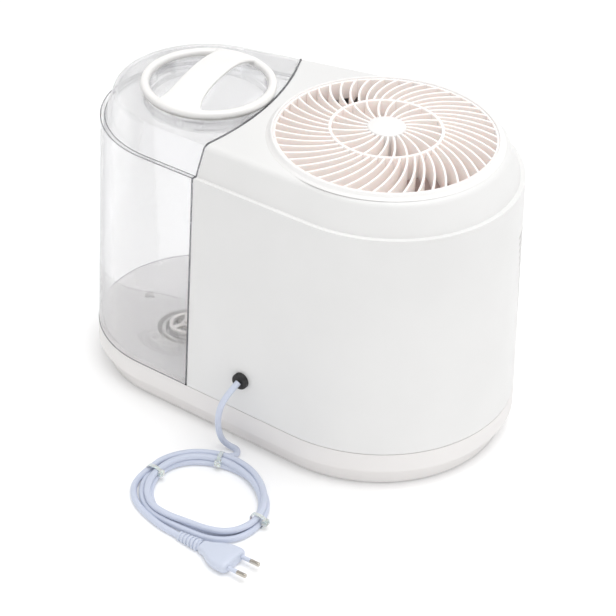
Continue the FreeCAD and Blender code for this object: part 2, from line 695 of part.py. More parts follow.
# ---------------------------------------------------------------- filler cap
def cap_ring_handle():
    """White ring and the wide arched handle across it, one moulding."""
    profile = [(CAP_INNER, CAP_LOW), (CAP_OUTER, CAP_LOW), (CAP_OUTER, CAP_LOW + 2.5),
               (CAP_OUTER - 1.0, CAP_HIGH - 1.5), (CAP_OUTER - 2.6, CAP_HIGH),
               (CAP_INNER + 1.8, CAP_HIGH), (CAP_INNER, CAP_HIGH - 1.8)]
    rim = turned(profile, TANK_X, 0)
    shoulder = CAP_HIGH - 3.0
    half = CAP_INNER + 1.5
    over = Part.Arc(V(0, -CAP_OUTER, shoulder), V(0, 0, HANDLE_TOP), V(0, CAP_OUTER, shoulder))
    far_end = Part.LineSegment(V(0, CAP_OUTER, shoulder), V(0, half, CAP_LOW))
    under = Part.Arc(V(0, half, CAP_LOW), V(0, 0, HANDLE_TOP - HANDLE_THICK), V(0, -half, CAP_LOW))
    near_end = Part.LineSegment(V(0, -half, CAP_LOW), V(0, -CAP_OUTER, shoulder))
    outline = Part.Wire([curve.toShape() for curve in (over, far_end, under, near_end)])
    strap = Part.Face(outline).extrude(V(HANDLE_WIDTH, 0, 0))
    strap.translate(V(TANK_X - HANDLE_WIDTH / 2, 0, 0))
    strap = strap.common(cylinder(TANK_X, 0, CAP_LOW, HANDLE_TOP + 1, CAP_OUTER - 0.4))
    return rim.fuse(strap).removeSplitter()


def cap_window():
    """Clear recessed cup under the ring, with the bayonet lugs."""
    skirt = ring(TANK_X, 0, SKIRT_LOW, CAP_LOW, CAP_INNER - 0.5, SKIRT_OUTER)
    window = cylinder(TANK_X, 0, WINDOW_LOW, WINDOW_LOW + WINDOW_THICK, CAP_INNER)
    cup = skirt.fuse(window)
    for index in range(LUG_COUNT):
        lug = ring(0, 0, SKIRT_LOW, SKIRT_LOW + LUG_HIGH, SKIRT_OUTER - 1, NECK_INNER + 1.8)
        lug = lug.common(block(40, 70, -7, 7, 270, 280))
        cup = cup.fuse(placed(lug, V(TANK_X, 0, 0), 65 + 120 * index))
    return cup


def cap_gasket():
    return ring(TANK_X, 0, TOP_Z, CAP_LOW, NECK_INNER + 1.4, NECK_INNER + 4.4)


# ---------------------------------------------------------------- mains cord
def route_tube(points, radius, label):
    """Tube along straight runs joined by tangent arcs, as large as the runs allow."""
    edges = []
    radii = []
    start = points[0]
    for before, corner, after in zip(points, points[1:], points[2:]):
        back = before - corner
        ahead = after - corner
        shorter = min(back.Length, ahead.Length)
        turn = math.pi - back.getAngle(ahead)
        trim = 0.45 * shorter
        arc_radius = trim / math.tan(turn / 2)
        back.normalize()
        ahead.normalize()
        first = corner + back * trim
        last = corner + ahead * trim
        inward = back + ahead
        inward.normalize()
        centre_distance = arc_radius / math.cos(turn / 2)
        middle = corner + inward * (centre_distance - arc_radius)
        edges.append(Part.LineSegment(start, first).toShape())
        edges.append(Part.Arc(first, middle, last).toShape())
        radii.append(arc_radius)
        start = last
    edges.append(Part.LineSegment(start, points[-1]).toShape())
    path = Part.Wire(edges)
    circle = Part.Circle(points[0], points[1] - points[0], radius).toShape()
    tube = path.makePipeShell([Part.Wire(circle)], True, False)
    expected = math.pi * radius * radius * path.Length
    print(f"{label}: length {path.Length:.1f}, arc radii {[round(r, 1) for r in radii]}, "
          f"volume {tube.Volume:.0f} of {expected:.0f}")
    assert abs(tube.Volume / expected - 1) < 0.01, label
    return tube


def lead_points():
    """Cord from the gland down to the floor, folded back on itself and into the coil.

    The fold is about one cord diameter in radius, and the runs shorten towards it.
    """
    point, out = wall_point(GLAND_X, GLAND_Z, 1)
    return [
        point + out * GLAND_THICK,
        V(6.0, 136.0, 66.5),
        V(10.0, 142.0, 53.5),
        V(11.6, 142.0, 38.0),
        V(12.2, 138.0, 23.0),
        V(11.5, 132.0, 10.0),
        V(6.0, 128.6, 3.6),
        V(-0.6, 128.4, FLOOR_CORD_Z),
        V(-4.6, 132.4, FLOOR_CORD_Z),
        V(-4.6, 138.0, FLOOR_CORD_Z),
        V(-0.6, 142.0, FLOOR_CORD_Z),
        V(6.9, 143.6, FLOOR_CORD_Z + 0.2),
        V(15.8, 147.3, FLOOR_CORD_Z + 0.3),
        V(24.0, 152.7, FLOOR_CORD_Z + 0.4),
    ]


def tail_points():
    """Cord from the top of the coil, down its outer side and round to the plug."""
    end = plug_origin()
    axis = V(math.cos(math.radians(PLUG_YAW)), math.sin(math.radians(PLUG_YAW)), 0)
    return [
        V(49.5, 192.5, 7.5),
        V(54.0, 206.0, 4.6),
        V(53.8, 218.0, FLOOR_CORD_Z + 0.1),
        V(48.6, 229.0, FLOOR_CORD_Z),
        V(40.2, 238.5, FLOOR_CORD_Z),
        V(29.0, 246.0, FLOOR_CORD_Z),
        V(15.5, 252.2, FLOOR_CORD_Z),
        end - axis * 18,
        end,
    ]


def cord_lead():
    return route_tube(lead_points(), CORD / 2, "cord lead")


def cord_tail():
    return route_tube(tail_points(), CORD / 2, "cord tail")


def coil_edge(degrees, outset):
    """Point outset from the middle of the coil's strands, before the oval is turned and placed."""
    off = abs((degrees - DENT_ANGLE + 180) % 360 - 180)
    if off < DENT_REACH:
        outset -= COIL_DENT * (1 + math.cos(math.pi * off / DENT_REACH)) / 2
    angle = math.radians(degrees)
    return V((COIL_LONG + outset) * math.cos(angle), (COIL_SHORT + outset) * math.sin(angle), 0)


def oval(outset, low, high):
    """Upright solid on the coil's oval, widened by outset."""
    curve = Part.BSplineCurve()
    curve.interpolate([coil_edge(degrees, outset) for degrees in range(0, 360, 12)], PeriodicFlag=True)
    solid = Part.Face(Part.Wire(curve.toShape())).extrude(V(0, 0, high - low))
    solid.translate(V(0, 0, low))
    return placed(solid, COIL_CENTRE, COIL_YAW)


def cord_coil():
    """Outer shape of the tied coil of cord: an oval ring with rounded edges."""
    coil = oval(COIL_HALF_WIDTH, COIL_LOW, COIL_HIGH).cut(oval(-COIL_HALF_WIDTH, COIL_LOW, COIL_HIGH))
    return coil.makeFillet(COIL_ROUND, [e for e in coil.Edges if e.Length > 100])


def cord_ties():
    """Thin straps round the coil."""
    hole = oval(COIL_HALF_WIDTH, 0, COIL_HIGH).cut(oval(-COIL_HALF_WIDTH, 0, COIL_HIGH))
    half = COIL_HALF_WIDTH + TIE_THICK
    ties = []
    for degrees in TIE_ANGLES:
        angle = math.radians(degrees)
        across = math.degrees(math.atan2(math.sin(angle) / COIL_SHORT, math.cos(angle) / COIL_LONG))
        strap = block(-half, half, -TIE_WIDTH / 2, TIE_WIDTH / 2, 0, COIL_HIGH + TIE_THICK)
        strap = placed(placed(strap, coil_edge(degrees, 0), across), COIL_CENTRE, COIL_YAW)
        ties.append(strap.cut(hole))
    return Part.makeCompound(ties)


def plug_origin():
    return V(PLUG_X, PLUG_Y, FLOOR_CORD_Z + 0.2)


def on_cord(shape):
    return placed(shape, plug_origin(), PLUG_YAW, PLUG_PITCH)


def plug_relief():
    """Ribbed sleeve that keeps the cord from kinking at the plug."""
    core = Part.makeCone(3.4, 4.6, RELIEF_LENGTH, V(0, 0, 0), V(1, 0, 0))
    ribs = []
    for index in range(RELIEF_RIBS):
        start = 1.0 + RELIEF_RIB_PITCH * index
        radius = 4.4 + 0.28 * index
        rib = disc(start, 2.2, radius)
        ribs.append(rib.makeFillet(0.5, rib.Edges[0:1]))
    below = block(-5, 40, -20, 20, -20, -FLOOR_CORD_Z + 0.1)
    body = core.fuse(ribs)
    below.rotate(V(0, 0, 0), V(0, 1, 0), PLUG_PITCH)
    return body.cut(below)


def plug_body():
    """Flat two-pin plug: a narrow neck widening to a broad face."""
    half = [(RELIEF_LENGTH, 5.6), (RELIEF_LENGTH + 6, 6.6), (RELIEF_LENGTH + 15, 12.5),
            (RELIEF_LENGTH + PLUG_LENGTH - 4, 16.4), (RELIEF_LENGTH + PLUG_LENGTH, 14.6)]
    outline = [V(x, y, -8) for x, y in half] + [V(x, -y, -8) for x, y in reversed(half)]
    plan = Part.Face(Part.makePolygon(outline + outline[:1])).extrude(V(0, 0, 16))
    side = [V(RELIEF_LENGTH, -20, -4.3), V(RELIEF_LENGTH + 14, -20, -5.0),
            V(RELIEF_LENGTH + PLUG_LENGTH, -20, -6.0), V(RELIEF_LENGTH + PLUG_LENGTH, -20, 6.0),
            V(RELIEF_LENGTH + 14, -20, 6.8), V(RELIEF_LENGTH, -20, 5.0)]
    profile = Part.Face(Part.makePolygon(side + side[:1])).extrude(V(0, 40, 0))
    body = plan.common(profile)
    return body.makeFillet(1.6, body.Edges)


def plug_pins(start, end, rounded):
    pins = []
    for side in (-1, 1):
        y = side * PIN_SPACING / 2
        base = RELIEF_LENGTH + PLUG_LENGTH
        pin = Part.makeCylinder(2.0, end - start, V(base + start, y, 0), V(1, 0, 0))
        if rounded:
            pin = pin.makeFillet(1.2, [e for e in pin.Edges if e.BoundBox.XMin > base + end - 0.1])
        pins.append(pin)
    return Part.makeCompound(pins)


# ---------------------------------------------------------------- build
def build():
    os.makedirs("parts", exist_ok=True)
    parts = {
        "base_tray": base_tray,
        "tray_divider": tray_divider,
        "feet": feet,
        "filter_ring_low": filter_ring_low,
        "filter_ring_high": filter_ring_high,
        "filter_ribs": filter_ribs,
        "wick_filter": wick_filter,
        "main_housing": main_housing,
        "fan_grille": fan_grille,
        "grille_rim": grille_rim,
        "grille_hub_cap": grille_hub_cap,
        "fan_duct": fan_duct,
        "duct_screws": duct_screws,
        "fan_motor": fan_motor,
        "motor_screws": motor_screws,
        "motor_shaft": motor_shaft,
        "fan_rotor": fan_rotor,
        "rotor_nut": rotor_nut,
        "control_bezel": control_bezel,
        "speed_knob": speed_knob,
        "switch_shaft": switch_shaft,
        "rotary_switch": rotary_switch,
        "refill_lens": refill_lens,
        "lamp_holder": lamp_holder,
        "cord_gland": cord_gland,
        "inner_lead": inner_lead,
        "terminal_block": terminal_block,
        "tank_shell": tank_shell,
        "valve_cap": valve_cap,
        "valve_cap_seal": valve_cap_seal,
        "valve_plunger": valve_plunger,
        "plunger_seal": plunger_seal,
        "valve_spring": valve_spring,
        "cap_ring_handle": cap_ring_handle,
        "cap_window": cap_window,
        "cap_gasket": cap_gasket,
        "cord_lead": cord_lead,
        "cord_tail": cord_tail,
        "cord_coil": cord_coil,
        "cord_ties": cord_ties,
    }
    for name, make in parts.items():
        export(name, make())
    export("plug_relief", on_cord(plug_relief()))
    export("plug_body", on_cord(plug_body()))
    export("pin_sleeves", on_cord(plug_pins(0, 9.5, False)))
    export("plug_pins", on_cord(plug_pins(9.5, PIN_LENGTH, True)))


build()
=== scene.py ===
"""Looks of the cool mist humidifier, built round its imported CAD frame.

Metres, +Z up. The tank is at +X, the fan end at -X, the controls face -Y and the cord leaves at +Y.
"""

import json
import math

import bmesh
import bpy
from mathutils import Matrix, Vector


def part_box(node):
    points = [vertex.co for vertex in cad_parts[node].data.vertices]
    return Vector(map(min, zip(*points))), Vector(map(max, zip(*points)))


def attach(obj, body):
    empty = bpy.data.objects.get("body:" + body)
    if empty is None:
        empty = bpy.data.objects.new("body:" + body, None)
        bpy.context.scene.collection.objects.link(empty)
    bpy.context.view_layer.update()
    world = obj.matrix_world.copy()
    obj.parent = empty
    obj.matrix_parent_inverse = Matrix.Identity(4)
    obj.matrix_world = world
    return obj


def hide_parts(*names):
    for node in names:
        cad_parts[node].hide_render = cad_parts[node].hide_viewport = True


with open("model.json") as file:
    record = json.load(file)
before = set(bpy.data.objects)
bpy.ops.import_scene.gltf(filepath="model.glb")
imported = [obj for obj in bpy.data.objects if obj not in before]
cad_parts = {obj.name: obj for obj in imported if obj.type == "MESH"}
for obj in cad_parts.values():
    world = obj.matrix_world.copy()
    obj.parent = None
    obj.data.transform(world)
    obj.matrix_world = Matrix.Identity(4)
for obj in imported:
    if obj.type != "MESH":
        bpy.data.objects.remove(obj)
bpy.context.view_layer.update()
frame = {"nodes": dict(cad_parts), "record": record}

MM = 0.001
NODES = frame["nodes"]

# ---------------------------------------------------------------- places, from the frame
RIM_LOW, RIM_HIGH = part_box("grille_rim")
FAN = (RIM_LOW + RIM_HIGH) / 2
RIM_OUTER = (RIM_HIGH.x - RIM_LOW.x) / 2
RIM_TOP = RIM_HIGH.z + 1.2 * MM
BORE = RIM_OUTER - 5.8 * MM
GRILLE_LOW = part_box("fan_grille")[0].z
HUB_RADIUS = (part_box("grille_hub_cap")[1].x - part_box("grille_hub_cap")[0].x) / 2
CAP_LOW, CAP_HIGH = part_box("cap_ring_handle")
CAP = (CAP_LOW + CAP_HIGH) / 2
CAP_OUTER = (CAP_HIGH.x - CAP_LOW.x) / 2
WICK_LOW, WICK_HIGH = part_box("wick_filter")

# ---------------------------------------------------------------- tank
SEAM_CENTRE = 333.3 * MM
SEAM_RADIUS = 291.8 * MM
GROOVE = 259.5 * MM
TANK_FOOT = 39.6 * MM
VALVE = Vector((108.0, 28.0)) * MM
# Radii of the dark tubes that paint shade along the tank's corners.
EDGE_THICK = 0.85 * MM
EDGE_THIN = 0.45 * MM
FLAT_BELOW = math.radians(20)
SHORTEST_EDGE = 0.01 * MM

# ---------------------------------------------------------------- camera
CAMERA_AZIMUTH = math.radians(205.729)
CAMERA_ELEVATION = math.radians(34.679)
CAMERA_ROLL = math.radians(-2.408)
CAMERA_DISTANCE = 2.0918
CAMERA_AIM = Vector((-0.03422, 0.060, 0.12926))
CAMERA_LENS = 136.37

# ---------------------------------------------------------------- grille
OUTER_VANES = 48
INNER_VANES = 24
MID_RADIUS = 49.4 * MM
MID_HALF = 1.4 * MM
DOME = 7.2 * MM
DOME_FOOT = RIM_TOP - 1.0 * MM
VANE_THICK = 1.9 * MM
VANE_SWEEP = math.radians(-34.0)
# Share of the bore where the sweep starts, and the share over which it builds up.
SWEEP_START = 0.17
SWEEP_SPAN = 0.83
# Half width of a vane as a share of its thickness.
VANE_TOP = 0.5
VANE_FOOT = 0.7
RING_EDGE = 0.7 * MM
SMALL_BEVEL = 0.35 * MM

# ---------------------------------------------------------------- filler cap
CAP_RING_HIGH = 6.5 * MM
CAP_RING_WIDE = 7.9 * MM
CAP_RING_EDGE = 3.2 * MM
STRAP_ROWS = 48
STRAP_INSET = 1.6 * MM
STRAP_SINK = 0.9 * MM
STRAP_HALF_WIDTH = 15.5 * MM
STRAP_FLARE = 13.0 * MM
STRAP_HOLLOW = 12.2 * MM
# Share of the strap's half span that is hollow below.
HOLLOW_SHARE = 0.93

# ---------------------------------------------------------------- filter
PLEATS = 90
PLEAT_DEEP = 16.5 * MM
PAPER_THICK = 1.2 * MM

# ---------------------------------------------------------------- cord
CORD = 5.8 * MM
# Three turns of about 343 mm, and about 130 mm each for the lead and the last strand.
COIL_CENTRE = Vector((-11.0, 205.0, 0.0)) * MM
COIL_LONG = 58.0 * MM
COIL_SHORT = 51.0 * MM
COIL_YAW = math.radians(-27.0)
COIL_TURNS = 3
TURN_POINTS = 16
# Degrees round the oval where the lead joins it and the tail leaves it.
COIL_START = -32.4
COIL_END = 17.3
SHORT_OF_TAIL = 12.0
COIL_DENT = 10.0 * MM
DENT_ANGLE = 118.0
DENT_REACH = 55.0
# Outset from the oval and height of the strand at each whole turn, in millimetres.
STRANDS = [(3.4, 3.3), (-3.1, 3.2), (-1.3, 8.4), (4.3, 8.9)]
CLIMB_START = 0.62
CLIMB_APART = 0.4
STRAND_LOOSE = 1.1
TIE_ANGLES = (-52.4, 21.8, -157.1)
TIE_HEAD_SIDES = (-1, -1, 1)
TIE_MIDDLE = 6.2 * MM
# Strap round the bundle, in millimetres: half its span across and up, half its width, thickness.
TIE_ACROSS = 7.0
TIE_UPRIGHT = 5.7
TIE_HALF_WIDTH = 1.9
TIE_THICK = 0.9
# Half length, half width and half height of the head and of the strap's cut end, in millimetres.
TIE_HEAD = (2.2, 2.9, 2.6)
TIE_CUT_END = (3.4, 1.7, 0.7)
EXIT = (0.00156, 0.12318, 0.0735)
LEAD = [
    EXIT,
    (0.0060, 0.1360, 0.0665),
    (0.0100, 0.1420, 0.0535),
    (0.0116, 0.1420, 0.0380),
    (0.0122, 0.1380, 0.0230),
    (0.0115, 0.1320, 0.0100),
    (0.0060, 0.1286, 0.0036),
    (-0.0006, 0.1284, 0.0030),
    (-0.0046, 0.1324, 0.0030),
    (-0.0046, 0.1380, 0.0030),
    (-0.0006, 0.1420, 0.0030),
    (0.0069, 0.1436, 0.0032),
    (0.0158, 0.1473, 0.0033),
    (0.0240, 0.1527, 0.0034),
]
TAIL = [
    (0.0495, 0.1925, 0.0075),
    (0.0540, 0.2060, 0.0046),
    (0.0538, 0.2180, 0.0031),
    (0.0486, 0.2290, 0.0030),
    (0.0402, 0.2385, 0.0030),
    (0.0290, 0.2460, 0.0030),
    (0.0155, 0.2522, 0.0030),
    (0.0020, 0.2572, 0.0031),
    (-0.0158, 0.2602, 0.0032),
]

# ---------------------------------------------------------------- plug
PLUG_ORIGIN = Vector(TAIL[-1])
PLUG_YAW = math.radians(170.5)
PLUG_PITCH = math.radians(3.0)
PLUG_LIFT = 0.3
PLUG_ROUND = 24
# Distance along the plug, half width, half height, all in millimetres.
PLUG_SECTIONS = [
    (25.0, 5.4, 4.2), (26.5, 6.3, 4.5), (30.0, 6.6, 4.7), (33.5, 8.0, 5.0), (38.0, 11.4, 5.3),
    (44.0, 14.6, 5.7), (52.0, 16.2, 5.9), (58.0, 16.2, 6.0), (61.0, 15.4, 5.7), (62.0, 14.0, 4.9),
]

# ---------------------------------------------------------------- studio
FLOOR_HALF = 6.0
FLOOR_GLOW = 0.1
BACKDROP_INNER = 5.6
BACKDROP_OUTER = 5.7
BACKDROP_HIGH = 1.5
BACKDROP_GLOW = 0.42
SKY_HORIZON = (0.12, 0.12, 0.13)
SKY_TOP = (1.0, 1.0, 1.0)
SKY_STRENGTH = 0.72


# ---------------------------------------------------------------- mesh helpers
def smooth(obj, degrees=35):
    """Round shading, kept crisp at edges sharper than this."""
    for polygon in obj.data.polygons:
        polygon.use_smooth = True
    obj.data.set_sharp_from_angle(angle=math.radians(degrees))
    return obj


def make_object(name, points, faces):
    mesh = bpy.data.meshes.new(name)
    mesh.from_pydata([tuple(p) for p in points], [], faces)
    mesh.validate()
    mesh.update()
    obj = bpy.data.objects.new(name, mesh)
    bpy.context.scene.collection.objects.link(obj)
    return obj


def strip_faces(rows, columns, first=0, loop=False, caps=False):
    """Faces of a tube of rings, each with the same number of points; loop joins its two ends."""
    faces = []
    for row in range(rows if loop else rows - 1):
        here = first + row * columns
        there = first + (row + 1) % rows * columns
        for column in range(columns):
            beside = (column + 1) % columns
            faces.append((here + column, here + beside, there + beside, there + column))
    if caps:
        last = first + (rows - 1) * columns
        faces.append(tuple(range(first + columns - 1, first - 1, -1)))
        faces.append(tuple(range(last, last + columns)))
    return faces


def lathe(name, centre, profile, segments=160):
    """Closed (radius, height) profile turned about a vertical axis."""
    points = []
    for index in range(segments):
        angle = 2 * math.pi * index / segments
        for radius, height in profile:
            points.append((centre.x + radius * math.cos(angle), centre.y + radius * math.sin(angle), height))
    return make_object(name, points, strip_faces(segments, len(profile), loop=True))


def superellipse(half_width, half_height, power=3.2, count=24):
    points = []
    for index in range(count):
        angle = 2 * math.pi * index / count
        c = math.cos(angle)
        s = math.sin(angle)
        points.append((math.copysign(abs(c) ** (2 / power), c) * half_width,
                       math.copysign(abs(s) ** (2 / power), s) * half_height))
    return points


def bevel(obj, width, segments=2):
    modifier = obj.modifiers.new("rounded edges", "BEVEL")
    modifier.width = width
    modifier.segments = segments
    modifier.limit_method = "ANGLE"
    modifier.angle_limit = math.radians(40)
    return obj


def keep(obj, body, material, nodes=()):
    """Give a piece its body and material, and hide the CAD nodes that it stands for."""
    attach(obj, body)
    if nodes:
        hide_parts(*nodes)
    obj.data.materials.clear()
    obj.data.materials.append(material)
    return obj


# ---------------------------------------------------------------- materials
def new_material(name):
    material = bpy.data.materials.new(name)
    material.use_nodes = True
    tree = material.node_tree
    return material, tree, tree.nodes["Principled BSDF"]


def noise(tree, scale, detail=3.0, stretch=None):
    """Noise in object space; stretch draws it out along an axis, as grain or brushing."""
    place = tree.nodes.new("ShaderNodeTexCoord")
    texture = tree.nodes.new("ShaderNodeTexNoise")
    texture.inputs["Scale"].default_value = scale
    texture.inputs["Detail"].default_value = detail
    if stretch is None:
        tree.links.new(place.outputs["Object"], texture.inputs["Vector"])
        return texture.outputs["Fac"]
    mapping = tree.nodes.new("ShaderNodeMapping")
    mapping.inputs["Scale"].default_value = stretch
    tree.links.new(place.outputs["Object"], mapping.inputs["Vector"])
    tree.links.new(mapping.outputs["Vector"], texture.inputs["Vector"])
    return texture.outputs["Fac"]


def ramp(tree, factor, low, high, from_low=0.35, from_high=0.65):
    node = tree.nodes.new("ShaderNodeValToRGB")
    node.color_ramp.elements[0].position = from_low
    node.color_ramp.elements[0].color = (*low, 1.0)
    node.color_ramp.elements[1].position = from_high
    node.color_ramp.elements[1].color = (*high, 1.0)
    tree.links.new(factor, node.inputs["Fac"])
    return node.outputs["Color"]


def spread(tree, factor, low, high):
    """Noise carried to a range of numbers, such as roughness."""
    return spread_between(tree, factor, 0.3, 0.7, low, high)


def spread_between(tree, factor, from_low, from_high, low, high):
    node = tree.nodes.new("ShaderNodeMapRange")
    node.inputs["From Min"].default_value = from_low
    node.inputs["From Max"].default_value = from_high
    node.inputs["To Min"].default_value = low
    node.inputs["To Max"].default_value = high
    tree.links.new(factor, node.inputs["Value"])
    return node.outputs["Result"]


def bump(tree, shader, height, strength, distance):
    node = tree.nodes.new("ShaderNodeBump")
    node.inputs["Strength"].default_value = strength
    node.inputs["Distance"].default_value = distance
    tree.links.new(height, node.inputs["Height"])
    tree.links.new(node.outputs["Normal"], shader.inputs["Normal"])


def moulded(name, colour, roughness=0.38, grain=0.05, grain_scale=2600.0, vary=0.025, coat=0.0):
    """Moulded plastic: fine grain, faint clouding in the colour, uneven gloss."""
    material, tree, shader = new_material(name)
    darker = tuple(max(0.0, c - vary) for c in colour)
    tree.links.new(ramp(tree, noise(tree, 9.0), darker, colour), shader.inputs["Base Color"])
    rough = spread(tree, noise(tree, 40.0), roughness - 0.04, roughness + 0.05)
    tree.links.new(rough, shader.inputs["Roughness"])
    shader.inputs["Coat Weight"].default_value = coat
    shader.inputs["Coat Roughness"].default_value = 0.15
    bump(tree, shader, noise(tree, grain_scale, 2.0), grain, 0.0002)
    return material


def translucent(name, colour, roughness):
    """Thin pale moulding that passes some light, and glows faintly in its own colour as painted light."""
    material = moulded(name, colour, roughness, vary=0.015)
    shader = material.node_tree.nodes["Principled BSDF"]
    shader.inputs["Subsurface Weight"].default_value = 0.45
    shader.inputs["Subsurface Radius"].default_value = (1.0, 0.75, 0.65)
    shader.inputs["Subsurface Scale"].default_value = 0.004
    # Painted light: a faint glow in the moulding's own colour brightens it as if lit, though it is no lamp.
    shader.inputs["Emission Color"].default_value = (*colour, 1.0)
    shader.inputs["Emission Strength"].default_value = 0.07
    return material


def metal(name, colour, roughness, stretch=(1.0, 1.0, 30.0), scale=300.0):
    """Metal with drawn or brushed streaks."""
    material, tree, shader = new_material(name)
    shader.inputs["Metallic"].default_value = 1.0
    streaks = noise(tree, scale, 3.0, stretch)
    darker = tuple(0.82 * c for c in colour)
    tree.links.new(ramp(tree, streaks, darker, colour), shader.inputs["Base Color"])
    tree.links.new(spread(tree, streaks, roughness - 0.06, roughness + 0.1), shader.inputs["Roughness"])
    bump(tree, shader, streaks, 0.08, 0.0001)
    return material


def clear(name, tint, opacity, roughness=0.03, outline=(0.16, 0.16, 0.18)):
    """Clear moulded plastic: see-through face on, solid where it is seen edge on, with a painted dark
    reflection there.
    """
    material, tree, shader = new_material(name)
    edge = tree.nodes.new("ShaderNodeLayerWeight")
    edge.inputs["Blend"].default_value = 0.5
    faint = tuple(max(0.0, c - 0.03) for c in tint)
    clouded = ramp(tree, noise(tree, 6.0), faint, tint)
    # Painted reflection: edge on, the colour goes over to the dark grey outline colour, which stands in for
    # dark surroundings seen in the plastic's edges.
    mix = tree.nodes.new("ShaderNodeMix")
    mix.data_type = "RGBA"
    tree.links.new(spread_between(tree, edge.outputs["Facing"], 0.66, 0.96, 0.0, 1.0), mix.inputs["Factor"])
    tree.links.new(clouded, mix.inputs["A"])
    mix.inputs["B"].default_value = (*outline, 1.0)
    tree.links.new(mix.outputs["Result"], shader.inputs["Base Color"])
    solid = spread_between(tree, edge.outputs["Facing"], 0.6, 0.95, opacity, 0.92)
    tree.links.new(solid, shader.inputs["Alpha"])
    shader.inputs["Transmission Weight"].default_value = 1.0
    shader.inputs["IOR"].default_value = 1.47
    rough = spread(tree, noise(tree, 25.0), roughness * 0.6, roughness * 1.5)
    tree.links.new(rough, shader.inputs["Roughness"])
    bump(tree, shader, noise(tree, 14.0), 0.05, 0.002)
    return material


def rubber(name, colour, roughness=0.75):
    material, tree, shader = new_material(name)
    lighter = tuple(min(1.0, c + 0.03) for c in colour)
    tree.links.new(ramp(tree, noise(tree, 160.0), colour, lighter), shader.inputs["Base Color"])
    tree.links.new(spread(tree, noise(tree, 80.0), roughness - 0.08, roughness + 0.1),
                   shader.inputs["Roughness"])
    shader.inputs["Specular IOR Level"].default_value = 0.35
    bump(tree, shader, noise(tree, 1400.0), 0.15, 0.0003)
    return material


def nylon(name):
    """Milky translucent strap."""
    material, tree, shader = new_material(name)
    tree.links.new(ramp(tree, noise(tree, 120.0), (0.70, 0.73, 0.70), (0.80, 0.82, 0.79)),
                   shader.inputs["Base Color"])
    shader.inputs["Transmission Weight"].default_value = 0.35
    shader.inputs["Subsurface Weight"].default_value = 0.2
    tree.links.new(spread(tree, noise(tree, 60.0), 0.28, 0.42), shader.inputs["Roughness"])
    bump(tree, shader, noise(tree, 700.0), 0.08, 0.0002)
    return material


def wick():
    """Cellulose paper: fibres along the height, slightly uneven cream."""
    material, tree, shader = new_material("wick paper")
    fibres = noise(tree, 500.0, 5.0, (1.0, 1.0, 0.15))
    tree.links.new(ramp(tree, fibres, (0.62, 0.58, 0.47), (0.82, 0.79, 0.68)), shader.inputs["Base Color"])
    tree.links.new(spread(tree, fibres, 0.82, 0.97), shader.inputs["Roughness"])
    shader.inputs["Sheen Weight"].default_value = 0.25
    bump(tree, shader, fibres, 0.35, 0.0006)
    return material


def make_materials():
    return {
        "housing_white": moulded("housing", (0.775, 0.772, 0.765), 0.40, coat=0.08),
        "base_white": moulded("tray", (0.80, 0.78, 0.77), 0.42),
        "tray_beige": moulded("divider", (0.89, 0.79, 0.77), 0.44),
        "foot_rubber": rubber("foot rubber", (0.30, 0.30, 0.29)),
        "wick_paper": wick(),
        "frame_plastic": moulded("filter frame", (0.68, 0.68, 0.66), 0.5),
        # The grille's material carries a faint painted glow.
        "grille_cream": translucent("grille", (0.95, 0.88, 0.85), 0.42),
        "trim_white": moulded("trim", (0.86, 0.85, 0.84), 0.36),
        "duct_grey": moulded("duct", (0.62, 0.50, 0.47), 0.55),
        "screw_steel": metal("zinc screw", (0.62, 0.62, 0.60), 0.32),
        "motor_steel": metal("motor can", (0.34, 0.34, 0.35), 0.42),
        "shaft_steel": metal("ground shaft", (0.70, 0.70, 0.71), 0.22, (30.0, 30.0, 1.0)),
        "rotor_plastic": moulded("rotor", (0.66, 0.54, 0.51), 0.48),
        "knob_white": moulded("knob", (0.78, 0.78, 0.77), 0.34),
        "bezel_grey": moulded("bezel", (0.48, 0.49, 0.50), 0.5, grain=0.12),
        "switch_black": moulded("switch", (0.035, 0.035, 0.037), 0.5, vary=0.01),
        "lens_amber": clear("amber lens", (0.85, 0.38, 0.12), 0.85, 0.08),
        "gland_black": rubber("gland", (0.012, 0.012, 0.012), 0.6),
        "tank_clear": clear("tank", (0.70, 0.70, 0.725), 0.25),
        "window_clear": clear("cap window", (0.78, 0.78, 0.80), 0.25),
        # Painted shade: dark grey for the tubes that stand in for dark reflections and the seam shadow along
        # the tank's corners.
        "painted_corner_shade": clear("tank corner painted shade", (0.20, 0.20, 0.22), 0.75, 0.1),
        "valve_white": moulded("valve", (0.76, 0.73, 0.70), 0.42),
        "seal_rubber": rubber("silicone seal", (0.60, 0.59, 0.57), 0.5),
        "spring_steel": metal("spring wire", (0.62, 0.62, 0.63), 0.28),
        "cap_white": moulded("cap", (0.86, 0.85, 0.835), 0.34, coat=0.1),
        "cord_white": moulded("cord sheath", (0.60, 0.645, 0.765), 0.42, grain=0.08, vary=0.03),
        "tie_clear": nylon("tie nylon"),
        "plug_white": moulded("plug", (0.61, 0.655, 0.765), 0.36, vary=0.02),
        "pin_nickel": metal("nickel pin", (0.60, 0.56, 0.50), 0.2),
    }


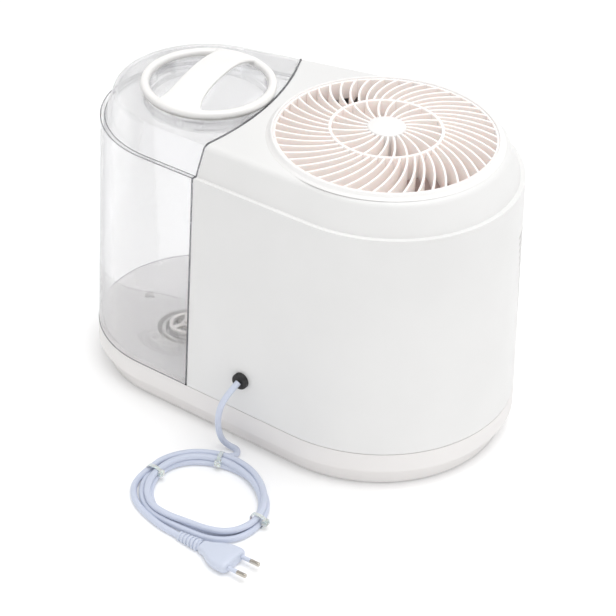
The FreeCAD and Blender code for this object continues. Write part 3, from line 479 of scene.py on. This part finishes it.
# ---------------------------------------------------------------- camera, floor, light
def make_camera():
    right = Vector((math.cos(CAMERA_AZIMUTH), math.sin(CAMERA_AZIMUTH), 0.0))
    back = Vector((math.sin(CAMERA_AZIMUTH) * math.cos(CAMERA_ELEVATION),
                   -math.cos(CAMERA_AZIMUTH) * math.cos(CAMERA_ELEVATION),
                   math.sin(CAMERA_ELEVATION)))
    up = back.cross(right)
    x = right * math.cos(CAMERA_ROLL) - up * math.sin(CAMERA_ROLL)
    y = right * math.sin(CAMERA_ROLL) + up * math.cos(CAMERA_ROLL)
    data = bpy.data.cameras.new("camera")
    data.sensor_width = 36.0
    data.lens = CAMERA_LENS
    data.clip_end = 50.0
    camera = bpy.data.objects.new("camera", data)
    turn = Matrix((x, y, back)).transposed().to_4x4()
    camera.matrix_world = Matrix.Translation(CAMERA_AIM + back * CAMERA_DISTANCE) @ turn
    bpy.context.scene.collection.objects.link(camera)
    bpy.context.scene.camera = camera


def area_light(name, place, target, size, power):
    data = bpy.data.lights.new(name, "AREA")
    data.shape = "SQUARE"
    data.size = size
    data.energy = power
    light = bpy.data.objects.new(name, data)
    light.location = place
    light.rotation_mode = "QUATERNION"
    light.rotation_quaternion = (Vector(target) - Vector(place)).to_track_quat("-Z", "Y")
    bpy.context.scene.collection.objects.link(light)


def glowing_paper(name, glow):
    paper, tree, shader = new_material(name)
    tree.links.new(ramp(tree, noise(tree, 3.0), (0.92, 0.92, 0.92), (0.95, 0.95, 0.95)),
                   shader.inputs["Base Color"])
    shader.inputs["Roughness"].default_value = 0.9
    shader.inputs["Emission Color"].default_value = (1.0, 1.0, 1.0, 1.0)
    shader.inputs["Emission Strength"].default_value = glow
    return paper


def make_floor():
    """Pale paper floor and a low wall far round it, glowing a little so that both stay white."""
    half = FLOOR_HALF
    floor = make_object("floor", [(-half, -half, 0), (half, -half, 0), (half, half, 0), (-half, half, 0)],
                        [(0, 1, 2, 3)])
    floor.data.materials.append(glowing_paper("floor paper", FLOOR_GLOW))
    below = -0.01
    profile = [
        (BACKDROP_INNER, below), (BACKDROP_OUTER, below),
        (BACKDROP_OUTER, BACKDROP_HIGH), (BACKDROP_INNER, BACKDROP_HIGH),
    ]
    wall = lathe("backdrop", Vector((0, 0, 0)), profile, 96)
    wall.data.materials.append(glowing_paper("backdrop paper", BACKDROP_GLOW))
    smooth(wall, 50)


def make_world():
    """Bright above, grey at the horizon, whose reflections darken clear plastic; its darkest edges are
    painted in its material.
    """
    world = bpy.data.worlds.new("studio")
    world.use_nodes = True
    tree = world.node_tree
    place = tree.nodes.new("ShaderNodeTexCoord")
    split = tree.nodes.new("ShaderNodeSeparateXYZ")
    tree.links.new(place.outputs["Generated"], split.inputs["Vector"])
    sky = ramp(tree, split.outputs["Z"], SKY_HORIZON, SKY_TOP, 0.08, 0.5)
    tree.links.new(sky, tree.nodes["Background"].inputs["Color"])
    tree.nodes["Background"].inputs["Strength"].default_value = SKY_STRENGTH
    bpy.context.scene.world = world


def make_studio():
    make_floor()
    make_world()
    area_light("overhead", (-0.4, 0.0, 2.2), (-0.1, 0.0, 0.2), 2.0, 28.0)
    area_light("fan end", (-2.2, 1.0, 1.0), (-0.1, 0.0, 0.12), 1.6, 2.5)
    bpy.context.scene.view_settings.view_transform = "Standard"


# ---------------------------------------------------------------- cord
def on_oval(degrees, outset, height):
    """Point beside the coil's oval; degrees count round it from its long axis."""
    off = abs((degrees - DENT_ANGLE + 180) % 360 - 180)
    if off < DENT_REACH:
        outset -= COIL_DENT * (1 + math.cos(math.pi * off / DENT_REACH)) / 2
    angle = math.radians(degrees)
    local = Vector(((COIL_LONG + outset) * math.cos(angle), (COIL_SHORT + outset) * math.sin(angle), 0.0))
    point = COIL_CENTRE + Matrix.Rotation(COIL_YAW, 3, "Z") @ local
    point.z = height
    return point


def ease(value, start, end):
    """0 before start, 1 after end, and a smooth step between them."""
    share = min(1.0, max(0.0, (value - start) / (end - start)))
    return share * share * (3 - 2 * share)


def coil_points():
    """Turns from the lead to the tail: low outside, low inside, then up on top of both."""
    first = COIL_START + 360.0 / TURN_POINTS
    last = COIL_END + 360.0 * COIL_TURNS - SHORT_OF_TAIL
    count = round((last - first) / (360.0 / TURN_POINTS))
    points = []
    for index in range(count + 1):
        degrees = first + (last - first) * index / count
        turn = (degrees - COIL_START) / 360.0
        step = min(int(turn), COIL_TURNS - 1)
        share = ease(turn, step + CLIMB_START, step + 1.0)
        outset = STRANDS[step][0] + (STRANDS[step + 1][0] - STRANDS[step][0]) * share
        height = STRANDS[step][1] + (STRANDS[step + 1][1] - STRANDS[step][1]) * share
        apart = 1.0 + CLIMB_APART * math.sin(math.pi * share)
        wave = math.sin(math.radians(3.0 * degrees) + 1.9 * step)
        loose = STRAND_LOOSE * wave * (1.0 - share)
        points.append(on_oval(degrees, (outset * apart + loose) * MM, height * MM))
    return points


def make_cord(materials):
    route = [Vector(p) for p in LEAD] + coil_points() + [Vector(p) for p in TAIL]
    curve = bpy.data.curves.new("mains_cord", "CURVE")
    curve.dimensions = "3D"
    curve.bevel_depth = 1.0
    curve.bevel_resolution = 6
    curve.resolution_u = 8
    curve.use_fill_caps = True
    spline = curve.splines.new("NURBS")
    spline.points.add(len(route) - 1)
    for point, place in zip(spline.points, route):
        point.co = (*place, 1.0)
        point.radius = CORD / 2
    spline.order_u = 3
    spline.use_endpoint_u = True
    cord = bpy.data.objects.new("mains_cord", curve)
    bpy.context.scene.collection.objects.link(cord)
    keep(cord, "housing", materials["cord_white"], ["cord_lead", "cord_tail", "cord_coil"])
    return cord


def make_tie(index, degrees):
    """Flat strap round the bundle, with its square head and the cut end of its tail."""
    centre = on_oval(degrees, 0.0, TIE_MIDDLE)
    outward = on_oval(degrees, 10.0 * MM, TIE_MIDDLE) - centre
    outward.normalize()
    along = Vector((-outward.y, outward.x, 0.0))
    up = Vector((0.0, 0.0, 1.0))
    points = []
    sides = superellipse(1.0, 1.0, 2.6, 40)
    half = TIE_HALF_WIDTH
    for across, height in sides:
        for lateral, grow in ((-half, 0.0), (half, 0.0), (half, TIE_THICK), (-half, TIE_THICK)):
            place = centre + outward * (across * (TIE_ACROSS + grow)) * MM
            place += up * (height * (TIE_UPRIGHT + grow)) * MM + along * lateral * MM
            place.z = max(place.z, 0.1 * MM)
            points.append(place)
    faces = strip_faces(len(sides), 4, loop=True)
    side = TIE_HEAD_SIDES[index]
    head = centre + outward * side * 7.6 * MM + up * 1.0 * MM
    for long, wide, high in (TIE_HEAD, TIE_CUT_END):
        start = len(points)
        for x in (-long, long):
            for y, z in ((-wide, -high), (wide, -high), (wide, high), (-wide, high)):
                points.append(head + outward * side * x * MM + along * y * MM + up * z * MM)
        faces += strip_faces(2, 4, first=start, caps=True)
    return smooth(bevel(make_object(f"cord_tie_{index}", points, faces), SMALL_BEVEL), 40)


def on_plug(x, y, z):
    """Point on the plug, from millimetres along it, across it and up from its middle."""
    turn = Matrix.Rotation(PLUG_YAW, 3, "Z") @ Matrix.Rotation(-PLUG_PITCH, 3, "Y")
    return PLUG_ORIGIN + turn @ Vector((x, y, z)) * MM


def make_plug(materials):
    """Flat plug body: narrow neck, shoulders, a broad face with soft edges."""
    points = []
    for x, half_width, half_height in PLUG_SECTIONS:
        for y, z in superellipse(half_width, half_height, count=PLUG_ROUND):
            points.append(on_plug(x, y, z + PLUG_LIFT))
    body = make_object("plug_shell", points, strip_faces(len(PLUG_SECTIONS), PLUG_ROUND, caps=True))
    modifier = body.modifiers.new("round", "SUBSURF")
    modifier.levels = 1
    modifier.render_levels = 1
    keep(smooth(body, 60), "housing", materials["plug_white"], ["plug_body"])
    return body


def make_cord_set(materials):
    cord = make_cord(materials)
    for index, degrees in enumerate(TIE_ANGLES):
        tie = make_tie(index, degrees)
        nodes = ["cord_ties"] if index == 0 else []
        keep(tie, "housing", materials["tie_clear"], nodes)
    plug = make_plug(materials)


# ---------------------------------------------------------------- grille
def dome(radius):
    """Height of the grille's top surface."""
    return DOME_FOOT + DOME * (1 - (radius / BORE) ** 2)


def make_vanes(name, count, inner, outer, steps):
    """Upright swept blades, a little thinner at the top than below."""
    points = []
    faces = []
    for index in range(count):
        first = len(points)
        for step in range(steps + 1):
            radius = inner + (outer - inner) * step / steps
            turn = VANE_SWEEP * (radius / BORE - SWEEP_START) / SWEEP_SPAN
            angle = 2 * math.pi * index / count + turn
            slope = math.atan(radius * VANE_SWEEP / SWEEP_SPAN / BORE)
            heading = angle + slope
            side = Vector((-math.sin(heading), math.cos(heading), 0.0))
            middle = Vector((FAN.x + radius * math.cos(angle), FAN.y + radius * math.sin(angle), 0.0))
            for half, height in ((VANE_TOP, dome(radius)), (-VANE_TOP, dome(radius)),
                                 (-VANE_FOOT, GRILLE_LOW), (VANE_FOOT, GRILLE_LOW)):
                place = middle + side * half * VANE_THICK
                place.z = height
                points.append(place)
        faces += strip_faces(steps + 1, 4, first=first, caps=True)
    return smooth(bevel(make_object(name, points, faces), SMALL_BEVEL), 40)


def ring_profile(inner, outer, low, high, edge):
    """Cross-section of a ring with a rounded top."""
    profile = [(inner, low), (outer, low), (outer, high - edge)]
    for step in range(1, 5):
        angle = math.pi / 2 * step / 4
        profile.append((outer - edge + edge * math.cos(angle), high - edge + edge * math.sin(angle)))
    for step in range(0, 5):
        angle = math.pi / 2 + math.pi / 2 * step / 4
        profile.append((inner + edge + edge * math.cos(angle), high - edge + edge * math.sin(angle)))
    return profile


def make_grille(materials):
    cream = materials["grille_cream"]
    outer = make_vanes("grille_vanes_outer", OUTER_VANES, MID_RADIUS, BORE - 0.6 * MM, 10)
    keep(outer, "housing", cream, ["fan_grille"])
    inner = make_vanes("grille_vanes_inner", INNER_VANES, HUB_RADIUS - 1.0 * MM, MID_RADIUS, 7)
    keep(inner, "housing", cream)
    rings = (
        ("grille_ring_mid", MID_RADIUS - MID_HALF, MID_RADIUS + MID_HALF, dome(MID_RADIUS) + 0.5 * MM),
        ("grille_ring_outer", BORE - 2.2 * MM, BORE, RIM_TOP - 1.2 * MM),
        ("grille_ring_hub", HUB_RADIUS - 2.5 * MM, HUB_RADIUS - 0.3 * MM, dome(HUB_RADIUS) - 0.8 * MM),
    )
    for name, inside, outside, high in rings:
        ring = lathe(name, FAN, ring_profile(inside, outside, GRILLE_LOW, high, RING_EDGE))
        keep(smooth(ring), "housing", cream)


def make_hub(materials):
    """Shallow round boss in the middle of the grille, with a soft edge."""
    top = dome(HUB_RADIUS) + 1.0 * MM
    outline = [
        (0.2 * MM, GRILLE_LOW), (HUB_RADIUS, GRILLE_LOW), (HUB_RADIUS, top - 1.4 * MM),
        (HUB_RADIUS - 0.4 * MM, top - 0.5 * MM), (HUB_RADIUS - 1.4 * MM, top),
        (HUB_RADIUS * 0.62, top + 0.7 * MM), (HUB_RADIUS * 0.3, top + 1.0 * MM), (0.2 * MM, top + 1.05 * MM),
    ]
    hub = lathe("grille_hub_soft", FAN, outline, 96)
    keep(smooth(hub, 50), "housing", materials["trim_white"], ["grille_hub_cap"])


def make_rim(materials):
    """Raised white ring round the grille: steep inside, soft shoulder outside."""
    foot = RIM_LOW.z
    top = RIM_TOP
    deck = RIM_HIGH.z - 4.0 * MM
    outline = [
        (BORE, foot), (BORE + 0.3 * MM, foot), (BORE + 0.3 * MM, deck), (RIM_OUTER + 0.6 * MM, deck),
        (RIM_OUTER + 0.3 * MM, deck + 0.4 * MM), (RIM_OUTER - 1.2 * MM, deck + 1.2 * MM),
        (RIM_OUTER - 2.4 * MM, deck + 2.6 * MM), (RIM_OUTER - 3.2 * MM, top - 0.9 * MM),
        (RIM_OUTER - 3.7 * MM, top - 0.25 * MM), (RIM_OUTER - 4.3 * MM, top),
        (BORE + 0.6 * MM, top), (BORE + 0.15 * MM, top - 0.3 * MM), (BORE, top - 1.0 * MM),
    ]
    rim = lathe("grille_rim_soft", FAN, outline, 200)
    keep(smooth(rim, 50), "housing", materials["trim_white"], ["grille_rim"])


# ---------------------------------------------------------------- filler cap
def make_cap(materials):
    """White ring and the wide arched handle across it, blended into one moulding."""
    low = CAP_LOW.z
    ring_top = low + CAP_RING_HIGH
    inner = CAP_OUTER - CAP_RING_WIDE
    ring = lathe("cap_soft", CAP, ring_profile(inner, CAP_OUTER, low, ring_top, CAP_RING_EDGE), 160)
    points = []
    half_span = CAP_OUTER - STRAP_INSET
    rise = CAP_HIGH.z - ring_top + STRAP_SINK
    for row in range(STRAP_ROWS + 1):
        share = 2 * row / STRAP_ROWS - 1
        y = share * half_span
        top = ring_top - STRAP_SINK + rise * (1 - abs(share) ** 2.3)
        below = low + 0.6 * MM
        if abs(share) < HOLLOW_SHARE:
            below += STRAP_HOLLOW * (1 - (share / HOLLOW_SHARE) ** 2)
        widest = math.sqrt(max(0.0, (CAP_OUTER - 0.9 * MM) ** 2 - y * y))
        half_width = min(STRAP_HALF_WIDTH + STRAP_FLARE * abs(share) ** 6, widest)
        for x, z in superellipse(half_width, (top - below) / 2, 3.6):
            points.append((CAP.x + x, CAP.y + y, (top + below) / 2 + z))
    strap = make_object("cap_strap", points, strip_faces(STRAP_ROWS + 1, 24, caps=True))
    with bpy.context.temp_override(active_object=ring, selected_editable_objects=[ring, strap]):
        bpy.ops.object.join()
    remesh = ring.modifiers.new("one skin", "REMESH")
    remesh.mode = "VOXEL"
    remesh.voxel_size = 0.75 * MM
    soften = ring.modifiers.new("blend", "SMOOTH")
    soften.factor = 0.5
    soften.iterations = 14
    graph = bpy.context.evaluated_depsgraph_get()
    skin = bpy.data.meshes.new_from_object(ring.evaluated_get(graph))
    ring.modifiers.clear()
    ring.data = skin
    for polygon in skin.polygons:
        polygon.use_smooth = True
    keep(ring, "cap", materials["cap_white"], ["cap_ring_handle"])


# ---------------------------------------------------------------- tank
def edge_radius(first, last):
    """Thickness of the painted dark line at a corner of the tank, or None where there is none."""
    if all(abs(math.hypot(p.x - SEAM_CENTRE, p.y) - SEAM_RADIUS) < 0.5 * MM for p in (first, last)):
        return EDGE_THICK
    if all(abs(p.z - GROOVE) < 0.05 * MM for p in (first, last)):
        return EDGE_THIN
    foot = TANK_FOOT - 0.05 * MM
    if all(foot < p.z < foot + 0.1 * MM and (p.xy - VALVE).length > 40 * MM for p in (first, last)):
        return EDGE_THIN
    return None


def make_painted_corner_lines(materials):
    """Thin dark tubes along the clear tank's outer corners at the seam, groove and foot: painted shade for
    the dark reflections in those corners and the shadow in the seam.
    """
    shell = bmesh.new()
    shell.from_mesh(NODES["tank_shell"].data)
    bmesh.ops.remove_doubles(shell, verts=shell.verts, dist=0.002 * MM)
    points = []
    faces = []
    for edge in shell.edges:
        first, last = (vert.co for vert in edge.verts)
        radius = edge_radius(first, last)
        flat = edge.calc_face_angle(0.0) < FLAT_BELOW
        if radius is None or flat or edge.calc_length() < SHORTEST_EDGE:
            continue
        along = (last - first).normalized()
        side = along.orthogonal().normalized()
        other = along.cross(side)
        start = len(points)
        for place in (first, last):
            for corner in range(6):
                angle = math.pi * corner / 3
                points.append(place + (side * math.cos(angle) + other * math.sin(angle)) * radius)
        faces += strip_faces(2, 6, first=start, caps=True)
    shell.free()
    keep(smooth(make_object("painted_dark_corner_lines", points, faces)), "tank", materials["painted_corner_shade"])


# ---------------------------------------------------------------- filter
def make_wick(materials):
    """Pleated wick: sharp folds round the ring, inside the space of its solid."""
    centre = (WICK_LOW + WICK_HIGH) / 2
    outside = (WICK_HIGH.x - WICK_LOW.x) / 2 - 0.6 * MM
    inside = outside - PLEAT_DEEP
    points = []
    for height in (WICK_LOW.z + 0.4 * MM, WICK_HIGH.z - 0.4 * MM):
        for offset in (0.0, PAPER_THICK):
            for index in range(2 * PLEATS):
                angle = math.pi * index / PLEATS
                radius = (outside - offset) if index % 2 else (inside + PAPER_THICK - offset)
                points.append((centre.x + radius * math.cos(angle), centre.y + radius * math.sin(angle),
                               height))
    count = 2 * PLEATS
    low_out, low_in, high_out, high_in = 0, count, 2 * count, 3 * count
    faces = []
    for index in range(count):
        beside = (index + 1) % count
        faces.append((low_out + index, low_out + beside, high_out + beside, high_out + index))
        faces.append((low_in + beside, low_in + index, high_in + index, high_in + beside))
        faces.append((high_out + index, high_out + beside, high_in + beside, high_in + index))
        faces.append((low_out + beside, low_out + index, low_in + index, low_in + beside))
    wick_piece = make_object("pleated_wick", points, faces)
    keep(wick_piece, "base", materials["wick_paper"], ["wick_filter"])


# ---------------------------------------------------------------- everything
def paint_nodes(materials):
    """Every CAD node takes the material of its slot in the record."""
    for part in frame["record"]["subparts"]:
        data = NODES[part["node"]].data
        data.materials.clear()
        data.materials.append(materials[part["material_slot"]])
    for node in ("tank_shell", "cap_window"):
        NODES[node].visible_shadow = False


def main():
    make_camera()
    materials = make_materials()
    paint_nodes(materials)
    make_cord_set(materials)
    make_studio()
    make_grille(materials)
    make_hub(materials)
    make_rim(materials)
    make_cap(materials)
    make_wick(materials)
    make_painted_corner_lines(materials)
    bpy.context.view_layer.update()


main()
